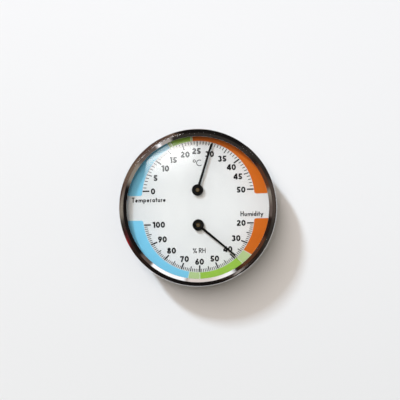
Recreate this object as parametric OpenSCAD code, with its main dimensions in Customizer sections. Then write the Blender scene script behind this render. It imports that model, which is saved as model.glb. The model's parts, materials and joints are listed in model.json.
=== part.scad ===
// Round wall instrument with two scales: a thermometer above and a hygrometer below.
// The wall is the plane y = 0 and the dial faces -Y. The origin is the centre of the
// case's back. Each module draws in the dial's own view: x to the right, y up, and z
// from the wall towards the viewer. The module upright() stands that view up.

/* [Case] */
// Outer diameter of the case
case_d = 98; // [92:0.5:110]
// Thickness of the case's side wall
case_wall = 1.6; // [1.2:0.1:2.4]
// Thickness of the case's back
back_t = 2; // [1.4:0.1:2.4]
// Depth of the case from the wall to its front rim
case_depth = 18.2; // [16:0.1:22]
// Rounding of the case's back edge
back_round = 1.5; // [0.5:0.1:2]

/* [Hanger and vents] */
// Diameter of the keyhole's entry, for the head of a wall screw
entry_d = 8.5; // [7:0.1:10]
// Width of the keyhole's slot, for the shank of a wall screw
shank_w = 4.4; // [3:0.1:5]
// Travel from the entry's centre up to the slot's end
keyhole_run = 6.5; // [5:0.5:9]
// Distance from the case's rim down to the slot's end
keyhole_margin = 8.5; // [7:0.5:10]
// Number of places round the back, all but two of which hold a vent slot
vent_places = 12; // [8:4:16]
// Width of a vent slot
vent_w = 2.6; // [1.5:0.1:4]
// Length of a vent slot
vent_l = 10; // [5:0.5:11]
// Distance from the case's rim to the outer end of a vent slot
vent_margin = 10; // [7:0.5:11]

/* [Ring] */
// How far the ring stands out beyond the case's side
ring_proud = 2; // [1.2:0.1:3]
// Distance from the ring's outer side in to the edge of its opening
ring_w = 5; // [4:0.1:6]
// Distance from the ring's outer side in to its crest
crest_in = 2.5; // [1.8:0.1:3]
// Width of the flat top of the crest
crest_w = 0.4; // [0.2:0.1:0.8]
// Thickness of the lip over the glass
lip_t = 0.5; // [0.4:0.1:1]
// Height of the crest above the lip
crest_rise = 2; // [1.5:0.1:4]
// Length of the skirt that covers the case's side
skirt_l = 8; // [4.5:0.5:10]
// How much narrower the skirt is at its back edge
skirt_taper = 0.5; // [0:0.1:0.8]
// Clearance between the skirt and the case
skirt_gap = 0.05; // [0.03:0.01:0.1]
// Height of the bead that snaps into the case
bead = 0.35; // [0.2:0.05:0.5]
// Clearance of the bead in the case's groove
bead_gap = 0.15; // [0.1:0.05:0.2]
// Distance from the case's rim back to the bead
bead_back = 3; // [2:0.1:3.5]

/* [Glass and dial] */
// Thickness of the front glass
glass_t = 1.2; // [1:0.1:2]
// Thickness of the seal on the glass
seal_t = 0.2; // [0.1:0.1:0.5]
// Free height between dial and glass
pointer_room = 2.9; // [2.8:0.1:4]
// Width of the spacer ring and of the seal
spacer_w = 1.5; // [1:0.1:1.8]
// Thickness of the dial plate
dial_t = 0.5; // [0.3:0.1:1]
// Clearance round the dial, the spacer and the glass in the ring
disc_gap = 0.15; // [0.1:0.05:0.3]
// Clearance of a bush's nose in the dial plate
dial_hole_gap = 0.2; // [0.1:0.05:0.6]

/* [Scales] */
// Distance between the two spindles
pivot_gap = 22.7; // [22.6:0.1:26]
// Highest temperature on the scale, in degrees Celsius
temp_max = 50; // [40:5:60]
// Temperature shown at rest, in degrees Celsius
temp_now = 30; // [5:1:39]
// Lowest relative humidity on the scale, in per cent
humid_min = 20; // [10:5:30]
// Relative humidity shown at rest, in per cent
humid_now = 38; // [31:1:95]
// Distance from the ring's opening in to the temperature marks, at the top
temp_rim_w = 3.6; // [2:0.05:5]
// How far the centre of the temperature marks' circle lies below its spindle
temp_drop = 4.7; // [2:0.1:6]
// Distance from the ring's opening in to the humidity marks, at the bottom
humid_rim_w = 4.7; // [2:0.05:5]
// How far the centre of the humidity marks' circle lies above its spindle
humid_rise = 5.4; // [2:0.1:6]
// Length of the mark at each tenth unit
mark_ten = 4.3; // [3:0.1:5]
// Length of the mark at each fifth unit
mark_five = 3.1; // [2:0.1:4]
// Length of the mark at every other unit
mark_one = 1.8; // [1:0.1:3]
// Width of the heavy marks
mark_bold = 0.65; // [0.3:0.05:1]
// Width of the fine marks
mark_fine = 0.3; // [0.15:0.05:0.5]
// Gap between the marks and the coloured bands
band_gap = 0.65; // [0.3:0.05:1.5]
// How far the bands reach past their spindle's level
band_past = 2.6; // [0.5:0.1:4]
// Thickness of the print on the dial
print_t = 0.05; // [0.03:0.01:0.1]

/* [Pointers] */
// Diameter of a pointer's hub
hub_d = 7.3; // [5:0.1:9]
// How far the temperature pointer passes the marks at the middle of its scale
temp_hand_past = 0.5; // [-2:0.1:1]
// How far the humidity pointer passes the marks at the middle of its scale
humid_hand_past = 1; // [-2:0.1:1.5]
// Width of a pointer at its hub
hand_root_w = 1.6; // [1:0.1:2.5]
// Width of a pointer at its tip
hand_tip_w = 1.1; // [0.6:0.1:1.5]
// Thickness of a pointer
hand_t = 0.35; // [0.2:0.05:0.5]
// Height of a pointer above the dial
hand_lift = 1.8; // [1.6:0.1:1.9]
// Diameter of the bushing's head
bushing_head_d = 2.4; // [2.2:0.1:3]
// Height of the bushing's head
bushing_head_t = 0.35; // [0.2:0.05:0.5]
// Diameter of the bushing's collar under the pointer
bushing_collar_d = 2.8; // [2.4:0.1:3.2]
// Height of the bushing's collar
bushing_collar_t = 1.2; // [0.8:0.1:1.4]
// Wall of the bushing's neck in the pointer
bushing_wall = 0.33; // [0.25:0.01:0.4]

/* [Spindles and bushes] */
// Diameter of a spindle
spindle_d = 1.2; // [0.8:0.1:1.3]
// How far a spindle stands out of its bushing's head
spindle_out = 0.1; // [0:0.05:0.2]
// How deep a spindle runs in its adjuster
spindle_seat = 2.4; // [1.5:0.1:2.6]
// Play of a spindle along its axis, at each end of its collet
end_play = 0.15; // [0.1:0.05:0.3]
// Diameter of a front bush in its plate
bush_d = 4; // [3.4:0.1:4.4]
// Diameter of a front bush's flange
bush_flange_d = 6; // [5:0.1:7]
// Thickness of a front bush's flange
bush_flange_t = 0.6; // [0.4:0.1:0.8]
// Distance from the end of a front bush's nose to the dial
bush_nose_back = 1.1; // [0.5:0.1:1.8]
// Diameter of a front bush's nose
bush_nose_d = 3; // [2.4:0.1:3.2]
// Radial clearance of a running shaft
run_gap = 0.05; // [0.03:0.01:0.08]
// Radial clearance of pieces pushed together
push_gap = 0.02; // [0.01:0.01:0.04]

/* [Movement] */
// Distance from the case's back to the rear bridge
bridge_gap = 2; // [1.8:0.1:2.2]
// Thickness of the rear bridge
bridge_t = 1; // [0.8:0.1:1.2]
// Height between the rear bridge and the movement plate
cage_h = 5.6; // [5.4:0.1:6]
// Thickness of the movement plate
plate_t = 1.2; // [0.8:0.1:1.4]
// Distance from a spindle to the pillars beside it
pillar_reach = 14; // [13.5:0.1:16]
// Diameter of a pillar
pillar_d = 3.5; // [3:0.1:4]
// Diameter of a pillar's riveted ends
tenon_d = 2; // [1.4:0.1:2.4]
// Height of a pillar's rivet heads
tenon_head_t = 0.4; // [0.3:0.1:0.6]
// How far a pillar's rivet heads spread past its ends
tenon_head_out = 0.5; // [0.3:0.1:0.6]
// Radius of the plates' arms round pillars and screws
arm_r = 4; // [3.5:0.1:4.5]
// Distance from the centre to the side posts
side_post_x = 21; // [20:0.5:22]
// Distance from the centre down to the lower post
low_post_y = 29; // [28.5:0.5:32]
// Diameter of a case post
post_d = 6; // [5:0.1:7]
// Diameter of a plate screw
screw_d = 2; // [1.6:0.1:2.4]
// Radial clearance of a plate screw in the movement plate
screw_gap = 0.1; // [0.05:0.05:0.2]
// Length of a plate screw in its post
screw_bite = 6; // [4:0.5:7]
// Free depth of a post's hole beyond its screw
screw_spare = 0.5; // [0.2:0.1:1]
// Diameter of a plate screw's head
screw_head_d = 3.8; // [3.4:0.1:4.4]
// Height of a plate screw's head
screw_head_t = 1.2; // [0.8:0.1:1.6]
// Width of the slot in a screw head and in an adjuster
slot_w = 0.8; // [0.5:0.1:1]

/* [Adjusters and coils] */
// Diameter of an adjuster's hub
adjuster_hub_d = 5; // [4.4:0.1:5.6]
// Diameter of an adjuster's flange
adjuster_flange_d = 9; // [8:0.1:10]
// Margin of the rear bridge round an adjuster's flange
bridge_margin = 0.5; // [0.2:0.1:1]
// Thickness of an adjuster's flange and arm
adjuster_t = 1; // [0.8:0.1:1.1]
// Width of an adjuster's arm
adjuster_arm_w = 3; // [2:0.1:4]
// Thickness of an adjuster's upright tab
tab_t = 0.8; // [0.6:0.1:1]
// Depth of the screwdriver slot in an adjuster
adjuster_slot_h = 0.7; // [0.4:0.1:0.8]
// Distance from the case's back to an adjuster's slotted end
adjuster_inset = 0.3; // [0.2:0.1:0.5]
// Diameter of the hole in the case's back for a screwdriver
access_d = 7; // [6:0.1:8]
// Thickness of the friction washer
washer_t = 0.3; // [0.2:0.05:0.35]
// Diameter of the friction washer
washer_d = 8; // [7:0.1:8.4]
// Radial clearance of the friction washer on the hub
washer_gap = 0.1; // [0.05:0.05:0.2]
// Thickness of the retaining clip
clip_t = 0.5; // [0.4:0.05:0.6]
// Diameter of the retaining clip
clip_d = 7.6; // [7:0.1:8.4]
// Depth of the clip's groove in the hub
clip_groove = 0.4; // [0.3:0.05:0.5]
// Play of the clip along the hub
clip_play = 0.05; // [0.02:0.01:0.08]
// Width of the mouth of the retaining clip
clip_mouth = 2.6; // [2:0.1:3]
// Diameter of a collet
collet_d = 4.4; // [3.6:0.1:5]
// Height of a coil's strip
strip_h = 3; // [2.4:0.1:3.2]
// Thickness of a coil's strip
strip_t = 0.25; // [0.2:0.05:0.4]
// Distance from an adjuster's arm to its coil
coil_lift = 0.5; // [0.3:0.1:0.6]
// Radial gap between a coil and its collet
coil_gap = 0.15; // [0.1:0.05:0.3]
// Pitch of the thermometer's coil
temp_pitch = 1.8; // [1.6:0.1:1.9]
// Pitch of the hygrometer's coil
humid_pitch = 1.8; // [1.6:0.1:1.9]
// Half turns of each coil
coil_halves = 8; // [6:2:8]
// Length of a coil's straight tail
coil_tail = 2.2; // [1.8:0.1:3]
// Diameter of a coil's rivet
rivet_d = 1; // [0.8:0.1:1.2]
// How far a coil rivet's heads spread past its shank
rivet_head_out = 0.4; // [0.3:0.05:0.5]
// Height of a coil rivet's heads
rivet_head_t = 0.35; // [0.3:0.05:0.5]

/* [Hidden] */
// Radii of the case, the ring and what they hold
case_r = case_d / 2;
case_in_r = case_r - case_wall;
ring_r = case_r + ring_proud;
opening_r = ring_r - ring_w;
crest_r = ring_r - crest_in;
disc_r = case_r - case_wall / 2;
spacer_in_r = disc_r - spacer_w;
// Heights above the wall, from the back to the front
hub_end_z = back_t + adjuster_inset;
bridge_z = back_t + bridge_gap;
clip_z = bridge_z - clip_t - 2 * clip_play;
cage_z = bridge_z + bridge_t;
flange_z = cage_z + washer_t;
flange_face = flange_z + adjuster_t;
coil_z = flange_face + coil_lift;
plate_z = cage_z + cage_h;
plate_face = plate_z + plate_t;
dial_z = case_depth;
dial_face = dial_z + dial_t;
hand_z = dial_face + hand_lift;
hand_face = hand_z + hand_t;
glass_z = dial_face + pointer_room;
seal_z = glass_z + glass_t;
lip_z = seal_z + seal_t;
lip_face = lip_z + lip_t;
crest_z = lip_face + crest_rise;
// Places in the dial's view
temp_y = pivot_gap / 2;
humid_y = -pivot_gap / 2;
slot_end_y = case_r - keyhole_margin;
entry_y = slot_end_y - keyhole_run;
pillar_places = [for (x = [-1, 1], y = [temp_y, humid_y]) [x * pillar_reach, y]];
post_places = [[-side_post_x, 0], [side_post_x, 0], [0, -low_post_y]];
// Circles on which the marks end
temp_mark_y = temp_y - temp_drop;
temp_mark_r = opening_r - temp_rim_w - temp_mark_y;
humid_mark_y = humid_y + humid_rise;
humid_mark_r = opening_r - humid_rim_w + humid_mark_y;
temp_hand_l = temp_mark_r - temp_drop + temp_hand_past;
humid_hand_l = humid_mark_r - humid_rise + humid_hand_past;
// Degrees of turn for each unit, counted anticlockwise from the right
temp_step = -180 / temp_max;
humid_step = -180 / (100 - humid_min);
temp_dir = 180 + temp_now * temp_step;
humid_dir = (humid_now - humid_min) * humid_step;
// Comfort zones: first value, last value and colour
temp_zones = [
    [0, 16, "skyblue"],
    [16, 17, "palegreen"],
    [17, 23, "yellowgreen"],
    [23, 23.5, "palegreen"],
    [23.5, temp_max, "chocolate"],
];
humid_zones = [
    [humid_min, 34, "chocolate"],
    [34, 39, "palegreen"],
    [39, 60, "yellowgreen"],
    [60, 65.5, "palegreen"],
    [65.5, 100, "skyblue"],
];
// How far cutting shapes run past what they cut, and prints sink into the dial
over = 1;
sunk = 0.02;
$fn = 96;

// Stands the dial's view up, so that it faces -Y
module upright() {
    rotate([90, 0, 0]) children();
}

// Moves a piece to the upper spindle, whose coil ends above it
module at_thermo(tint, dir = 180) {
    color(tint) upright() translate([0, temp_y, 0]) rotate(dir) children();
}

// Moves a piece to the lower spindle, whose coil ends below it
module at_hygro(tint, dir = 0) {
    color(tint) upright() translate([0, humid_y, 0]) rotate(dir) children();
}

// Turns a profile of [radius, height] points about the z axis
module turned(points) {
    rotate_extrude($fn = 180) polygon(points);
}

// Ring or disc between two radii, from one height to another
module band(outer_r, inner_r, from_z, to_z) {
    translate([0, 0, from_z]) difference() {
        cylinder(r = outer_r, h = to_z - from_z);
        translate([0, 0, -over]) cylinder(r = inner_r, h = to_z - from_z + 2 * over);
    }
}

// Round hole down the z axis at each place, from one height to another
module holes(places, r, from_z, to_z) {
    for (p = places) translate([p[0], p[1], from_z]) cylinder(r = r, h = to_z - from_z);
}

// Flat outline of an arm with round ends
module arm(from, to, r) {
    run = to - from;
    translate(from) circle(r);
    translate(to) circle(r);
    translate(from) rotate(atan2(run[1], run[0])) translate([0, -r]) square([norm(run), 2 * r]);
}

// Points of an arc about a centre
function arc(centre, r, from, to, steps = 8) =
    [for (i = [0:steps]) centre + r * [cos(from + (to - from) * i / steps),
                                       sin(from + (to - from) * i / steps)]];

// Distance from a spindle, in one direction, to a circle centred drop below it
function reach(r, drop, dir) = -drop * sin(dir) + sqrt(r * r - pow(drop * cos(dir), 2));

// Cup with a snap groove, three screw posts, a keyhole, vents and adjuster holes
module case_shell() {
    groove_z = case_depth - bead_back;
    post_hole_z = plate_z - screw_bite - screw_spare;
    vent_out = case_r - vent_margin - vent_w / 2;
    vent_in = case_r - vent_margin - vent_l + vent_w / 2;
    color("dimgray") upright() difference() {
        union() {
            turned(concat(
                [[0, 0]],
                arc([case_r - back_round, back_round], back_round, -90, 0),
                [[case_r, groove_z - bead - bead_gap], [case_r - bead, groove_z - bead_gap],
                 [case_r - bead, groove_z + bead_gap], [case_r, groove_z + bead + bead_gap],
                 [case_r, case_depth], [case_in_r, case_depth],
                 [case_in_r, back_t], [0, back_t]]));
            for (p = post_places) translate([p[0], p[1], back_t / 2])
                cylinder(d = post_d, h = plate_z - back_t / 2);
        }
        holes(post_places, screw_d / 2 + push_gap, post_hole_z, plate_z + over);
        holes([[0, temp_y], [0, humid_y]], access_d / 2, -over, back_t + over);
        holes([[0, entry_y]], entry_d / 2, -over, back_t + over);
        translate([0, 0, -over]) linear_extrude(back_t + 2 * over)
            arm([0, entry_y], [0, slot_end_y - shank_w / 2], shank_w / 2);
        for (i = [0:vent_places - 1]) if (abs(cos(360 * i / vent_places)) > 0.1)
            rotate(360 * i / vent_places) translate([0, 0, -over])
                linear_extrude(back_t + 2 * over) arm([vent_in, 0], [vent_out, 0], vent_w / 2);
    }
}

// Ring: lip, inner slope, crest, rounded outer side and a skirt with a snap bead
module bezel_ring() {
    round_r = crest_in - crest_w / 2;
    skirt_r = case_r + skirt_gap;
    skirt_z = case_depth - skirt_l;
    bead_z = case_depth - bead_back;
    bead_in_r = case_r - bead + bead_gap;
    color("silver") upright() turned(concat(
        [[opening_r, lip_z], [opening_r, lip_face], [crest_r - crest_w / 2, crest_z]],
        arc([ring_r - round_r, crest_z - round_r], round_r, 90, 0),
        [[ring_r - skirt_taper, skirt_z], [skirt_r, skirt_z],
         [skirt_r, bead_z - bead], [bead_in_r, bead_z], [skirt_r, bead_z + bead],
         [skirt_r, case_depth + disc_gap], [disc_r + disc_gap, case_depth + disc_gap],
         [disc_r + disc_gap, lip_z]]));
}

module glass_seal() {
    color("black") upright() band(disc_r, spacer_in_r, seal_z, lip_z);
}

module front_glass() {
    color([0.8, 0.9, 0.95, 0.35]) upright() translate([0, 0, glass_z]) cylinder(r = disc_r, h = glass_t);
}

module spacer_ring() {
    color("black") upright() band(disc_r, spacer_in_r, dial_face, glass_z);
}

// Coloured zones round a scale, between the marks' circle and the spacer ring
module zones(list, spindle_y, circle_y, circle_r, up, start_dir, step) {
    first = list[0][0];
    last = list[len(list) - 1][1];
    far = 2 * ring_r;
    spare = 25;
    for (zone = list) {
        from = start_dir + (zone[0] - first) * step + (zone[0] == first ? -sign(step) * spare : 0);
        to = start_dir + (zone[1] - first) * step + (zone[1] == last ? sign(step) * spare : 0);
        color(zone[2]) translate([0, 0, dial_face - sunk]) linear_extrude(print_t + sunk)
            intersection() {
                difference() {
                    circle(spacer_in_r - disc_gap);
                    translate([0, circle_y]) circle(circle_r + band_gap);
                }
                translate([-far, up ? spindle_y - band_past : spindle_y + band_past - far])
                    square([2 * far, far]);
                translate([0, spindle_y]) polygon(concat([[0, 0]], arc([0, 0], far, from, to)));
            }
    }
}

// Marks of a scale, each along its own direction from the spindle
module marks(first, last, spindle_y, drop, circle_r, start_dir, step) {
    color("black") translate([0, spindle_y, dial_face - sunk]) for (value = [first:last]) {
        dir = start_dir + (value - first) * step;
        length = value % 10 == 0 ? mark_ten : value % 5 == 0 ? mark_five : mark_one;
        width = value % 10 == 0 ? mark_bold : mark_fine;
        rotate(dir) translate([reach(circle_r, drop, dir) - length, -width / 2, 0])
            cube([length, width, print_t + sunk]);
    }
}

// White disc with two spindle holes and the print of both scales
module dial_plate() {
    upright() {
        color("white") difference() {
            translate([0, 0, dial_z]) cylinder(r = disc_r, h = dial_t);
            holes([[0, temp_y], [0, humid_y]], bush_nose_d / 2 + dial_hole_gap, dial_z - over, dial_face + over);
        }
        zones(temp_zones, temp_y, temp_mark_y, temp_mark_r, true, 180, temp_step);
        zones(humid_zones, humid_y, humid_mark_y, humid_mark_r, false, 0, humid_step);
        marks(0, temp_max, temp_y, temp_drop, temp_mark_r, 180, temp_step);
        marks(humid_min, 100, humid_y, -humid_rise, humid_mark_r, 0, humid_step);
    }
}

// Front bearing plate: arms to the pillars and to the case's posts
module movement_plate() {
    color("darkkhaki") upright() difference() {
        translate([0, 0, plate_z]) linear_extrude(plate_t) {
            for (x = [-1, 1]) arm([x * pillar_reach, temp_y], [x * pillar_reach, humid_y], arm_r);
            for (y = [temp_y, humid_y]) arm([-pillar_reach, y], [pillar_reach, y], arm_r);
            for (p = post_places) arm([0, 0], p, arm_r);
        }
        holes(pillar_places, tenon_d / 2 + push_gap, plate_z - over, plate_face + over);
        holes(post_places, screw_d / 2 + screw_gap, plate_z - over, plate_face + over);
        holes([[0, temp_y], [0, humid_y]], bush_d / 2 + push_gap, plate_z - over, plate_face + over);
    }
}

module plate_screws() {
    shank_z = plate_z - screw_bite;
    color("lightgray") upright() for (p = post_places) translate([p[0], p[1], 0]) difference() {
        turned([[0, shank_z], [screw_d / 2, shank_z], [screw_d / 2, plate_face],
                [screw_head_d / 2, plate_face], [screw_head_d / 2, plate_face + screw_head_t],
                [0, plate_face + screw_head_t]]);
        translate([-screw_head_d, -slot_w / 2, plate_face + screw_head_t / 2])
            cube([2 * screw_head_d, slot_w, screw_head_t]);
    }
}

// Rear bridge: arms to the pillars and a round seat for each adjuster
module rear_bridge() {
    color("darkkhaki") upright() difference() {
        translate([0, 0, bridge_z]) linear_extrude(bridge_t) {
            arm([0, temp_y], [0, humid_y], arm_r);
            for (y = [temp_y, humid_y]) arm([-pillar_reach, y], [pillar_reach, y], arm_r);
            for (y = [temp_y, humid_y]) translate([0, y]) circle(adjuster_flange_d / 2 + bridge_margin);
        }
        holes(pillar_places, tenon_d / 2 + push_gap, bridge_z - over, cage_z + over);
        holes([[0, temp_y], [0, humid_y]], adjuster_hub_d / 2 + run_gap, bridge_z - over, cage_z + over);
    }
}

// Four pillars, riveted over both plates
module bridge_pillars() {
    pin_r = tenon_d / 2;
    head_r = pin_r + tenon_head_out;
    color("goldenrod") upright() for (p = pillar_places) translate([p[0], p[1], 0])
        turned([[0, bridge_z - tenon_head_t], [head_r, bridge_z - tenon_head_t], [head_r, bridge_z],
                [pin_r, bridge_z], [pin_r, cage_z], [pillar_d / 2, cage_z], [pillar_d / 2, plate_z],
                [pin_r, plate_z], [pin_r, plate_face], [head_r, plate_face],
                [head_r, plate_face + tenon_head_t], [0, plate_face + tenon_head_t]]);
}

// Pointer with its round hub, along the x axis
module pointer(length) {
    neck_r = spindle_d / 2 + push_gap + bushing_wall;
    tip_x = length - hand_tip_w / 2;
    difference() {
        translate([0, 0, hand_z]) linear_extrude(hand_t) {
            circle(d = hub_d);
            polygon([[0, -hand_root_w / 2], [tip_x, -hand_tip_w / 2], [length, 0],
                     [tip_x, hand_tip_w / 2], [0, hand_root_w / 2]]);
        }
        holes([[0, 0]], neck_r + push_gap, hand_z - over, hand_face + over);
    }
}

// Brass bushing: collar, neck and head round the spindle
module bushing() {
    bore_r = spindle_d / 2 + push_gap;
    neck_r = bore_r + bushing_wall;
    collar_z = hand_z - bushing_collar_t;
    head_z = hand_face + bushing_head_t;
    turned([[bore_r, collar_z], [bushing_collar_d / 2, collar_z], [bushing_collar_d / 2, hand_z],
            [neck_r, hand_z], [neck_r, hand_face], [bushing_head_d / 2, hand_face],
            [bushing_head_d / 2, head_z], [bore_r, head_z]]);
}

module spindle() {
    from_z = flange_face - spindle_seat;
    to_z = hand_face + bushing_head_t + spindle_out;
    translate([0, 0, from_z]) cylinder(d = spindle_d, h = to_z - from_z);
}

module collet() {
    band(collet_d / 2, spindle_d / 2 + push_gap, flange_face + end_play, plate_z - end_play);
}

// Front bearing: body in the plate, flange and nose
module bush() {
    bore_r = spindle_d / 2 + run_gap;
    flange_z = plate_face + bush_flange_t;
    nose_z = dial_z - bush_nose_back;
    turned([[bore_r, plate_z], [bush_d / 2, plate_z], [bush_d / 2, plate_face],
            [bush_flange_d / 2, plate_face], [bush_flange_d / 2, flange_z],
            [bush_nose_d / 2, flange_z], [bush_nose_d / 2, nose_z], [bore_r, nose_z]]);
}

// Radius at which a coil of the given pitch starts or ends, on its centre line
function coil_r(halves, pitch) = collet_d / 2 + coil_gap + strip_t / 2 + halves * pitch / 2;

// Hole or shank of a coil's rivet, down the y axis, between two distances
module across(r, from_y, to_y) {
    translate([coil_tail / 2, -from_y, coil_z + strip_h / 2]) rotate([90, 0, 0]) cylinder(r = r, h = to_y - from_y);
}

// Spiral of half circles, each wider than the last by half a pitch, with a centre that
// steps to and fro. The last one ends below the spindle and runs on as a straight tail.
module coil(pitch) {
    end_r = coil_r(coil_halves, pitch);
    difference() {
        translate([0, 0, coil_z]) linear_extrude(strip_h) {
            for (i = [0:coil_halves - 1]) {
                r = coil_r(i + 0.5, pitch);
                side = i % 2 == 0 ? 1 : -1;
                translate([0, side * pitch / 4]) intersection() {
                    difference() {
                        circle(r + strip_t / 2);
                        circle(r - strip_t / 2);
                    }
                    translate([side > 0 ? 0 : -2 * r, -2 * r]) square([2 * r, 4 * r]);
                }
            }
            translate([0, -end_r - strip_t / 2]) square([coil_tail, strip_t]);
        }
        across(rivet_d / 2 + push_gap, end_r - strip_t, end_r + strip_t);
    }
}

// Slotted hub with a clip groove, flange, and an arm with the tab that holds the coil
module adjuster(pitch) {
    tab_y = coil_r(coil_halves, pitch) + strip_t / 2;
    hub_r = adjuster_hub_d / 2;
    arm_x = (coil_tail - adjuster_arm_w) / 2;
    difference() {
        union() {
            turned([[0, hub_end_z], [hub_r, hub_end_z], [hub_r, clip_z - clip_play],
                    [hub_r - clip_groove, clip_z - clip_play],
                    [hub_r - clip_groove, clip_z + clip_t + clip_play],
                    [hub_r, clip_z + clip_t + clip_play], [hub_r, flange_z],
                    [adjuster_flange_d / 2, flange_z], [adjuster_flange_d / 2, flange_face],
                    [0, flange_face]]);
            translate([arm_x, -tab_y - tab_t, flange_z])
                cube([adjuster_arm_w, tab_y + tab_t, adjuster_t]);
            translate([arm_x, -tab_y - tab_t, flange_z])
                cube([adjuster_arm_w, tab_t, coil_z + strip_h - flange_z]);
        }
        holes([[0, 0]], spindle_d / 2 + run_gap, flange_face - spindle_seat - end_play, flange_face + over);
        translate([-adjuster_hub_d, -slot_w / 2, hub_end_z - over])
            cube([2 * adjuster_hub_d, slot_w, adjuster_slot_h + over]);
        across(rivet_d / 2 + push_gap, tab_y - tab_t, tab_y + 2 * tab_t);
    }
}

// Rivet through a coil's tail and the adjuster's tab
module coil_rivet(pitch) {
    tail_y = coil_r(coil_halves, pitch) - strip_t / 2;
    tab_y = tail_y + strip_t + tab_t;
    head_r = rivet_d / 2 + rivet_head_out;
    across(head_r, tail_y - rivet_head_t, tail_y);
    across(rivet_d / 2, tail_y - rivet_head_t, tab_y + rivet_head_t);
    across(head_r, tab_y, tab_y + rivet_head_t);
}

module friction_washer() {
    band(washer_d / 2, adjuster_hub_d / 2 + washer_gap, cage_z, flange_z);
}

// Open clip in the hub's groove, behind the bridge
module clip() {
    difference() {
        band(clip_d / 2, adjuster_hub_d / 2 - clip_groove + push_gap, clip_z, clip_z + clip_t);
        translate([-clip_mouth / 2, 0, clip_z - over]) cube([clip_mouth, clip_d, clip_t + 2 * over]);
    }
}

case_shell();
bezel_ring();
glass_seal();
front_glass();
spacer_ring();
dial_plate();
movement_plate();
plate_screws();
rear_bridge();
bridge_pillars();
at_thermo("black", temp_dir) pointer(temp_hand_l);  // thermo_pointer
at_thermo("gold") bushing();  // thermo_bushing
at_thermo("lightgray") spindle();  // thermo_spindle
at_thermo("gold") collet();  // thermo_collet
at_thermo("gold") bush();  // thermo_bush
at_thermo("darkgray") coil(temp_pitch);  // thermo_coil
at_thermo("gold") coil_rivet(temp_pitch);  // thermo_rivet
at_thermo("gold") adjuster(temp_pitch);  // thermo_adjuster
at_thermo("lightgray") friction_washer();  // thermo_washer
at_thermo("lightgray") clip();  // thermo_clip
at_hygro("black", humid_dir) pointer(humid_hand_l);  // hygro_pointer
at_hygro("gold") bushing();  // hygro_bushing
at_hygro("lightgray") spindle();  // hygro_spindle
at_hygro("gold") collet();  // hygro_collet
at_hygro("gold") bush();  // hygro_bush
at_hygro("tan") coil(humid_pitch);  // hygro_coil
at_hygro("gold") coil_rivet(humid_pitch);  // hygro_rivet
at_hygro("gold") adjuster(humid_pitch);  // hygro_adjuster
at_hygro("lightgray") friction_washer();  // hygro_washer
at_hygro("lightgray") clip();  // hygro_clip
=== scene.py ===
"""Wall dial thermometer and hygrometer: finishes, printed dial, ring, pointers, wall and light.

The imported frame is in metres: +Z is up, the wall is the plane y = 0 and the dial faces -Y.
Sizes in the classes are millimetres. The dial is drawn on its own sheet, x to the right and
y up from the dial's centre, and Sheet carries the drawing to metres at the dial's height.
"""
import json
import logging
import math
from collections.abc import Iterable
from dataclasses import dataclass, field
from enum import Enum
from typing import ClassVar

import bpy
import numpy as np
from mathutils import Matrix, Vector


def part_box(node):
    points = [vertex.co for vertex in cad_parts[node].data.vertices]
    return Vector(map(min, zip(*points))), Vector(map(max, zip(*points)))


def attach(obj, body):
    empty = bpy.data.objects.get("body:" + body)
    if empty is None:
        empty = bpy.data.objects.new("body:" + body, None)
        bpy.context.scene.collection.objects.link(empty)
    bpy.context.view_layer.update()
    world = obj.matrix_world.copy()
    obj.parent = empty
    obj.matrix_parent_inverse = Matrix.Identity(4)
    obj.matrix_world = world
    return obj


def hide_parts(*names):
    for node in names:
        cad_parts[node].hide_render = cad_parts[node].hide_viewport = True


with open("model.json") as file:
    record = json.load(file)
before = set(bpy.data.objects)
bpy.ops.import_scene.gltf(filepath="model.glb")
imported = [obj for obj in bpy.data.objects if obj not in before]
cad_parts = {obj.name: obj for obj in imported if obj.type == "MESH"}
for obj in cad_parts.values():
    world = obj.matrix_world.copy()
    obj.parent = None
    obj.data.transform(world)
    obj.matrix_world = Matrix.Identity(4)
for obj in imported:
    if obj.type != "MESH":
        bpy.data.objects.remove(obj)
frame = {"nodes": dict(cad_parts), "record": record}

MM = 0.001
TINY = 1e-6
WHITE = (1.0, 1.0, 1.0, 1.0)
BLACK = (0.0, 0.0, 0.0, 1.0)
log = logging.getLogger("wall_instrument")

Colour = tuple[float, float, float, float]
Shade = tuple[int, int, int]
Socket = bpy.types.NodeSocket
Stroke = tuple[np.ndarray, bool]
Span = tuple[str | float, ...]


def tint(red: int, green: int, blue: int, level: float = 1.0) -> Colour:
    """Turns a colour as it shows, in steps to 255, into the linear values of a shader.

    The curve is the one of sRGB: a straight foot, and above it a power of 2.4.

    Args:
        red: Red step as it shows.
        green: Green step as it shows.
        blue: Blue step as it shows.
        level: Factor on the linear values.

    Returns:
        The linear red, green and blue, and a full alpha.
    """
    shown = np.array([red, green, blue]) / 255
    linear = np.where(shown > 0.04045, ((shown + 0.055) / 1.055) ** 2.4, shown / 12.92) * level
    return (float(linear[0]), float(linear[1]), float(linear[2]), 1.0)


def placed_object(name: str, data: bpy.types.ID) -> bpy.types.Object:
    """Returns a new object of the scene that holds the given data."""
    made = bpy.data.objects.new(name, data)
    bpy.context.scene.collection.objects.link(made)
    return made


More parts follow.
